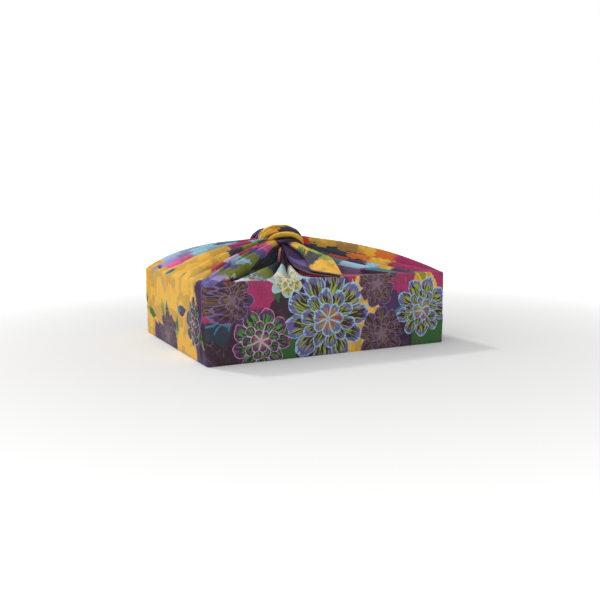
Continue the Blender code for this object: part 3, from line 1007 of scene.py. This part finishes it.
def mixed_values(share, first, second):
    """Two triples of numbers, mixed by a share from 0 to 1."""
    node = share.tree.nodes.new("ShaderNodeMix")
    node.data_type = "VECTOR"
    put(share, node.inputs["Factor"])
    put(first, node.inputs["A"])
    put(second, node.inputs["B"])
    return Field(node.outputs["Result"])


def shifted(place, scale, amount):
    """The place, moved about by a noise of the given scale, as an uneven edge is."""
    moved_by = texture("ShaderNodeTexNoise", place, "Color", Scale=scale, Detail=2.0, Roughness=0.6)
    centred = vector_math("SUBTRACT", moved_by, (0.5, 0.5, 0.5))
    return vector_math("MULTIPLY_ADD", centred, (amount, amount, 0), place)


def blossoms(place, under):
    """The nearest blossom over a colour: rings of outlined petals, each with strokes along it."""
    rows = [
        (along, up, radius, (along, up, radius), (petals, turn, colours))
        for along, up, radius, petals, turn, colours in BLOSSOMS
    ]
    where, kind = nearest_of(place, rows)
    along, up, radius = parts_of(where)
    petals, turn, colours = parts_of(kind)
    x, y, _ = parts_of(shifted(place, *HAND_DRAWN))
    x, y = (x - along) / radius, (y - up) / radius
    reach = (x * x + y * y).math("SQRT")
    turns = y.math("ARCTAN2", x) / (2 * math.pi)
    ring = None
    for out, fewer, ahead, inside in RINGS:
        across = (turns * (petals - fewer) + turn + ahead).math("FLOORED_MODULO", petals - fewer)
        off = (across.math("FRACT") - 0.5).math("ABSOLUTE") * 2
        uneven = (across.math("FLOOR") * PETAL_SEED + along).math("SINE") * UNEVEN_PETALS
        edge = (off.math("POWER", PETAL_POWER) * -PETAL_SIDES + uneven + 1) * out
        own = vector_of(across, edge, inside)
        if ring is None:
            ring, whole = own, reach.math("LESS_THAN", edge)
        else:
            ring = mixed_values(reach.math("LESS_THAN", edge), ring, own)
    across, edge, inside = parts_of(ring)
    off = (across.math("FRACT") - 0.5).math("ABSOLUTE") * 2
    share = (reach - inside) / (edge - inside)
    fine, coarse = (
        noise_field(vector_of(across * number, share * shortness, seed))
        for (number, shortness), seed in ((FINE_STROKES, turn), (COARSE_STROKES, along))
    )
    chosen = []
    for column in range(len(BLOSSOM_COLOURS[0])):
        colour = BLOSSOM_COLOURS[0][column]
        for number, row in enumerate(BLOSSOM_COLOURS[1:], start=1):
            colour = mixed_values(colours.math("GREATER_THAN", number - 0.5), colour, row[column])
        chosen.append(colour)
    heart, deep, stroke, petal, tip, line = chosen
    shade = mixed_values(reach.over(*HEART), deep, heart)
    strokes = fine.over(*STROKES) * share.over(*STROKES_BEGIN) * share.over(*STROKES_END)
    strokes = strokes * off.over(*STROKES_SIDES)
    fringe = share + (coarse - 0.5) * FRINGE_ROUGH + off * FRINGE_SIDES
    shade = mixed_values(fringe.over(*FRINGE), shade, petal)
    shade = mixed_values(strokes, shade, stroke)
    shade = mixed_values((share + (fine - 0.5) * TIP_ROUGH).over(*TIP), shade, tip)
    side = (off * -1 + 1) * reach * math.pi / petals
    near_edge = (edge - reach).math("MINIMUM", side) * radius
    line_share = near_edge.over(OUTLINE, OUTLINE * 0.6) * share.over(0.0, 0.1)
    shade = mixed_values(line_share, shade, line)
    return mixed_values(whole, under, shade)


def leaves(place, under, size, length, width, inks, shift, where):
    """Leaves strewn over a colour where a share allows it: each cell of a Voronoi pattern holds one."""
    node = place.tree.nodes.new("ShaderNodeTexVoronoi")
    node.voronoi_dimensions = "2D"
    node.inputs["Scale"].default_value = 1 / size
    node.inputs["Randomness"].default_value = LEAF_SCATTER
    place = vector_math("ADD", place, shift)
    put(place, node.inputs["Vector"])
    x0, y0, _ = parts_of(place)
    cx, cy, _ = parts_of(Field(node.outputs["Position"]))
    turn, pick, shown = parts_of(Field(node.outputs["Color"]))
    x, y = (x0 - cx) / length, (y0 - cy) / length
    turn = turn * (2 * math.pi)
    c, s = turn.math("COSINE"), turn.math("SINE")
    u = x * c + y * s
    v = (y * c - x * s) * (length / width) + u * u * LEAF_BEND - LEAF_OFF
    half = (u * u * -1 + 1) * (u * LEAF_BROAD + 1)
    strokes = noise_field(vector_of(v * 4, u * 1.3, pick * 9))
    inside = (half - v.math("ABSOLUTE") + (strokes - 0.5) * LEAF_ROUGH).over(0, 0.03)
    inside = inside * u.math("ABSOLUTE").over(1, 0.99)
    first, second, tip = inks
    shade = mixed_values(pick.over(*LEAF_KINDS), first, second)
    fringe = (u + (strokes - 0.5) * LEAF_FRINGE_ROUGH).over(*LEAF_FRINGE)
    shade = mixed_values(fringe, shade, tip)
    return mixed_values(inside * shown.over(*LEAF_SHOWN) * where, under, shade)


def print_colour(place):
    """The whole print: patches of ground, leaves and blossoms."""
    x, y, _ = parts_of(place)
    brushed = noise_field(vector_of(x * BRUSH_ACROSS, y * BRUSH_ALONG), Detail=1.0) - 0.5
    moved_x, moved_y, _ = parts_of(shifted(shifted(place, *COARSE_SHIFT), *FINE_SHIFT))
    uneven = vector_of(moved_x, moved_y + brushed * BRUSH_REACH)
    ground, = nearest_of(uneven, [(*spot, 1, ink) for ink, spots in PATCHES for spot in spots])
    tone = noise_field(place, 0.038, Detail=2.5) + brushed * 0.22
    ground = mixed_values(tone.over(*TONE) * TONE_SHARE, ground, TONE_INK)
    net = texture(
        "ShaderNodeTexVoronoi", uneven, "Distance", Scale=0.16, feature="DISTANCE_TO_EDGE",
        voronoi_dimensions="2D",
    )
    ground = mixed_values(net.over(*NET) * tone.over(0.5, 0.6) * NET_SHARE, ground, LILAC)
    on_walls = y.over(LEAVES_UP_TO, LEAVES_UP_TO - 6)
    colour = ground
    for row in LEAVES:
        colour = leaves(place, colour, *row, on_walls)
    return blossoms(place, colour)


def cotton(name, colour_of, shift=(0.0, 0.0), hemmed=False):
    """Plain-weave printed cotton. colour_of paints the print at a place on the flat cloth."""
    material = bpy.data.materials.new(name)
    material.use_nodes = True
    tree = material.node_tree
    shader = tree.nodes["Principled BSDF"]
    uv = tree.nodes.new("ShaderNodeUVMap")
    uv.uv_map = "flat"
    place = vector_math("MULTIPLY_ADD", Field(uv.outputs[0]), (1 / MM, 1 / MM, 0), (*shift, 0))
    colour = colour_of(place)
    thread = noise_field(place, 1.6, Detail=1.0)
    across, along, _ = parts_of(place)
    weave = (across * (2 * math.pi / THREAD)).math("SINE") * (along * (2 * math.pi / THREAD)).math("SINE")
    bare = (weave * WEAVE_SHOWS + thread * THREAD_SHOWS).math("MAXIMUM", 0.0)
    colour = mixed(bare, colour, BARE_COTTON)
    height = thread + weave * 0.5
    if hemmed:
        edge = tree.nodes.new("ShaderNodeUVMap")
        edge.uv_map = "hem"
        inward, down, _ = parts_of(Field(edge.outputs[0]))
        rolled = inward.over(HEM_ROLL * 1.1, HEM_ROLL)
        stitch = ((down / STITCH).math("FRACT") - 0.5).math("ABSOLUTE").over(*STITCH_LENGTH)
        stitch = stitch * (inward - HEM_ROLL * STITCHED_AT).math("ABSOLUTE").over(*STITCH_WIDTH)
        colour = mixed(rolled * 0.85, colour, PLUM)
        colour = mixed(stitch * 0.5, colour, MAUVE)
        height = height + rolled * 1.5 - stitch
    put(colour, shader.inputs["Base Color"])
    bump = tree.nodes.new("ShaderNodeBump")
    bump.inputs["Strength"].default_value = 0.25
    bump.inputs["Distance"].default_value = 0.3 * MM
    put(height, bump.inputs["Height"])
    tree.links.new(bump.outputs[0], shader.inputs["Normal"])
    put(thread * 0.12 + 0.72, shader.inputs["Roughness"])
    shader.inputs["Specular IOR Level"].default_value = 0.3
    shader.inputs["Sheen Weight"].default_value = 0.06
    shader.inputs["Sheen Roughness"].default_value = 0.5
    return material


def streaked(first, second, third, across, along):
    """A stretch of the print in three inks, drawn out along a band of cloth."""

    def paint(place):
        x, y, _ = parts_of(place)
        drawn = vector_of(x / across, y / along)
        zone = noise_field(drawn, Detail=2.0)
        fine = noise_field(drawn, 5.0, Detail=1.0)
        colour = mixed((zone + (fine - 0.5) * 0.1).over(0.50, 0.515), first, second)
        return mixed((zone + (fine - 0.5) * 0.12).over(0.60, 0.61), colour, third)

    return paint


def make_materials():
    return {
        "print": cotton("printed_cotton", print_colour),
        "loop": cotton("print_on_loop", streaked(MUSTARD, MUSTARD, OCHRE, 9, 40)),
        # The left loop is mustard with more ochre and orange than the other loops: a darker copy that partly
        # paints the shade in its creases. Its zones are spread by noise.
        "loop_left": cotton("print_and_painted_shade_on_loop_left", streaked(MUSTARD, OCHRE, ORANGE, 7, 26)),
        # The inner loop's dark navy print. The same cloth, as painted shade, fills the knot's core.
        "slot": cotton("navy_print_and_painted_shade_in_knot", streaked(NAVY, NAVY, AUBERGINE, 9, 40)),
        "under": cotton("print_on_under_strand", streaked(AUBERGINE, PLUM, MAUVE, 8, 30)),
        "tuck": cotton("print_on_tuck", streaked(PLUM, VIOLET, MUSTARD, 8, 30)),
        "end_face": cotton("print_on_end", print_colour, END_SHIFT, hemmed=True),
        "end_back": cotton("reverse_of_end", streaked(PLUM, VIOLET, MAUVE, 24, 60), hemmed=True),
    }


# The floor glows, a painted light: faintly next to the object, which lightens the box's shadow on it, and
# more strongly further off, so that it fades into the white round it. Where the glow grows, in metres from
# the object, and how strong it is at either end.
FLOOR_RADIUS = 14
FLOOR_GLOW_GROWS = (0.15, 1.5)
FLOOR_GLOW_NEAR, FLOOR_GLOW_FAR = 0.06, 0.86


def make_floor():
    """A pale floor with a painted glow: faint near the object, where it lightens the shadow, and growing into
    the white round it.
    """
    bpy.ops.mesh.primitive_circle_add(vertices=96, radius=FLOOR_RADIUS, fill_type="NGON")
    floor = bpy.context.object
    floor.name = "floor"
    material = bpy.data.materials.new("pale_glowing_floor")
    material.use_nodes = True
    tree = material.node_tree
    shader = tree.nodes["Principled BSDF"]
    shader.inputs["Base Color"].default_value = (0.82, 0.82, 0.815, 1)
    shader.inputs["Roughness"].default_value = 0.9
    shader.inputs["Specular IOR Level"].default_value = 0.2
    shader.inputs["Emission Color"].default_value = (1, 1, 1, 1)
    coordinates = tree.nodes.new("ShaderNodeTexCoord")
    x, y, _ = parts_of(Field(coordinates.outputs["Object"]))
    # Painted light: the floor's emission, faint by the box and stronger with distance.
    far = (x * x + y * y).math("SQRT").over(*FLOOR_GLOW_GROWS)
    put(far * (FLOOR_GLOW_FAR - FLOOR_GLOW_NEAR) + FLOOR_GLOW_NEAR, shader.inputs["Emission Strength"])
    floor.data.materials.append(material)


# How bright the white all round is as light, next to how it looks.
SKYLIGHT = 0.34
SUN_ALONG = (0.30, -0.57, -0.76)
SUN_POWER = 0.7
SUN_WIDTH = math.radians(7)
AREA_LIGHTS = [
    # name, place, size, power
    ("softbox", (-1.2, 0.15, 1.9), 3.2, 34),
    ("fill", (-0.2, -2.0, 1.0), 1.2, 5),
]
LIT_PLACE = Vector((0, 0, 0.05))


def add_light(data, along):
    """A light in the scene that shines along a direction."""
    light = bpy.data.objects.new(data.name, data)
    bpy.context.scene.collection.objects.link(light)
    light.rotation_euler = Vector(along).to_track_quat("-Z", "Y").to_euler()
    return light


def make_studio():
    world = bpy.data.worlds.new("studio")
    world.use_nodes = True
    tree = world.node_tree
    background = tree.nodes["Background"]
    background.inputs["Color"].default_value = (1, 1, 1, 1)
    seen = Field(tree.nodes.new("ShaderNodeLightPath").outputs["Is Camera Ray"])
    put(seen * (1 - SKYLIGHT) + SKYLIGHT, background.inputs["Strength"])
    bpy.context.scene.world = world
    sun = bpy.data.lights.new("key", "SUN")
    sun.energy = SUN_POWER
    sun.angle = SUN_WIDTH
    add_light(sun, SUN_ALONG)
    for name, place, size, power in AREA_LIGHTS:
        area = bpy.data.lights.new(name, "AREA")
        area.size = size
        area.energy = power
        add_light(area, LIT_PLACE - Vector(place)).location = place
    bpy.context.scene.view_settings.view_transform = "Standard"


def make_camera():
    data = bpy.data.cameras.new("camera")
    data.sensor_width = 36
    data.lens = CAMERA_LENS
    camera = bpy.data.objects.new("camera", data)
    bpy.context.scene.collection.objects.link(camera)
    camera.location = CAMERA_AT
    camera.rotation_euler = (math.pi / 2 - CAMERA_PITCH, 0, -CAMERA_TURN)
    bpy.context.scene.camera = camera


def main():
    make_camera()
    make_studio()
    make_floor()
    materials = make_materials()
    wrap = make_wrap(materials["print"])
    base = make_base(materials["print"])
    strands = [make_strand(name, *row[:-1], materials[row[-1]]) for name, row in STRANDS.items()]
    ends = [
        make_end("front_end", lambda p: p, materials["end_face"], materials["end_back"]),
        make_end("back_end", turned_to_back, materials["end_face"], materials["end_back"]),
    ]
    for piece in (wrap, base, *strands, *ends):
        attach(piece, "root")
        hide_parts("wrap")


main()
